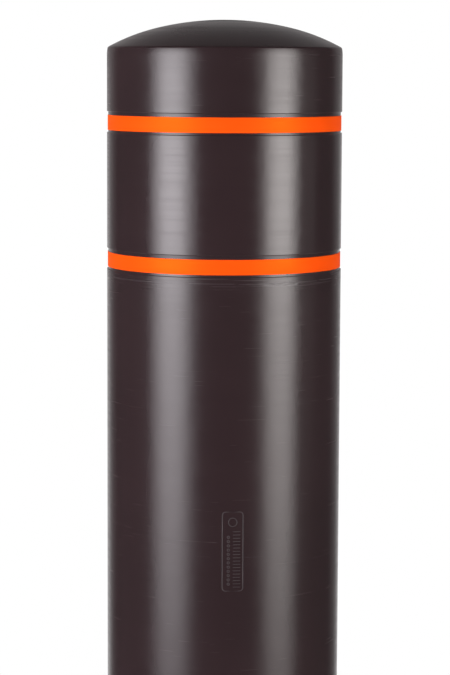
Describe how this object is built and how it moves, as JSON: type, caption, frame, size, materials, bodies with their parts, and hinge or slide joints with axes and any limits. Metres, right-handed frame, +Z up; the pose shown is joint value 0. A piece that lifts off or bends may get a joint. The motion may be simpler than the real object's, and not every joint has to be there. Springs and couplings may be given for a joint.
{
  "type": "retractable bollard",
  "caption": "Round domed post in a dark moulded sleeve with orange bands, rising on gas springs from a buried casing and locked by a key-turned shaft.",
  "frame": {"origin": "on the post's axis at finished paving level, level with the top of the trim ring", "axes": "+Z up along the post's axis, -Y the front (the side with the moulded marking frame and the flap's hinge), +X the side of the drain outlet"},
  "size_m": [0.325, 0.3, 2.11],
  "materials": {
    "sleeve_plastic": "smooth moulded polyethylene, dark brown, low sheen",
    "reflective_tape": "bright orange reflective tape, smooth film",
    "galvanised_steel": "hot-dip galvanised, dull spangle",
    "trim_steel": "brushed stainless, turned rings",
    "machined_steel": "machined and zinc plated",
    "stainless_steel": "turned stainless",
    "housing_metal": "cast, painted dark brown",
    "bearing_bronze": "turned bronze",
    "black_rubber": "moulded rubber, matt",
    "bearing_nylon": "cast nylon, natural",
    "packing_foam": "closed-cell foam strip",
    "hard_chrome": "hard chrome, polished",
    "black_paint": "black enamel, satin",
    "drain_plastic": "drain pipe plastic, satin",
    "anchor_steel": "plain reinforcing bar, light rust"
  },
  "bodies": {
    "casing": {"casing_tube": "galvanised_steel", "casing_floor": "galvanised_steel", "casing_flange": "galvanised_steel", "flange_gussets": "galvanised_steel", "flange_gasket": "black_rubber", "trim_ring": "trim_steel", "trim_screws": "stainless_steel", "wiper_seal": "black_rubber", "guide_bush": "bearing_nylon", "stop_ring": "machined_steel", "raise_buffer": "black_rubber", "floor_buffers": "black_rubber", "guide_rail": "galvanised_steel", "bolt_keepers": "machined_steel", "drain_outlet": "drain_plastic", "concrete_anchors": "anchor_steel", "left_gas_rod": "hard_chrome", "right_gas_rod": "hard_chrome", "gas_pistons": "bearing_bronze", "floor_clevises": "galvanised_steel", "floor_clevis_pins": "stainless_steel"},
    "post": {"post_sleeve": "sleeve_plastic", "upper_reflective_band": "reflective_tape", "lower_reflective_band": "reflective_tape", "post_tube": "galvanised_steel", "head_plate": "machined_steel", "dome_cushion": "black_rubber", "foam_strips": "packing_foam", "foot_collar": "machined_steel", "foot_block": "machined_steel", "upper_wear_ring": "bearing_nylon", "lower_wear_ring": "bearing_nylon", "lock_housing": "housing_metal", "flap_seal": "black_rubber", "flap_hinge_pin": "stainless_steel", "spindle_top_bush": "bearing_bronze", "spindle_foot_bush": "bearing_bronze", "left_gas_cylinder": "black_paint", "right_gas_cylinder": "black_paint", "gas_glands": "machined_steel", "head_clevises": "galvanised_steel", "head_clevis_pins": "stainless_steel", "clevis_screws": "stainless_steel"},
    "lock_shaft": {"lock_spindle": "machined_steel", "thrust_collar": "machined_steel", "collar_pin": "stainless_steel", "lock_cam": "machined_steel", "cam_pin": "stainless_steel"},
    "front_bolt": {"front_lock_bolt": "stainless_steel", "front_follower_pin": "bearing_bronze"},
    "rear_bolt": {"rear_lock_bolt": "stainless_steel", "rear_follower_pin": "bearing_bronze"},
    "flap": {"key_flap": "sleeve_plastic"}
  },
  "joints": [
    {"name": "post_lift", "type": "slide", "parent": "casing", "child": "post", "axis": [0, 0, 1], "range_m": [-0.897, 0], "stiffness_N_per_m": 170, "springref_m": 4.2},
    {"name": "key_turn", "type": "hinge", "parent": "post", "child": "lock_shaft", "pos_m": [0, 0, 0.85], "axis": [0, 0, 1], "range_deg": [0, 90]},
    {"name": "front_bolt_throw", "type": "slide", "parent": "post", "child": "front_bolt", "axis": [0, -1, 0], "range_m": [0, 0.016]},
    {"name": "rear_bolt_throw", "type": "slide", "parent": "post", "child": "rear_bolt", "axis": [0, 1, 0], "range_m": [0, 0.016]},
    {"name": "flap_hinge", "type": "hinge", "parent": "post", "child": "flap", "pos_m": [0, -0.015, 0.8963], "axis": [1, 0, 0], "range_deg": [0, 90]}
  ],
  "couplings": [
    {"joint": "front_bolt_throw", "follows": "key_turn", "m_per_rad": 0.010186},
    {"joint": "rear_bolt_throw", "follows": "key_turn", "m_per_rad": 0.010186}
  ]
}
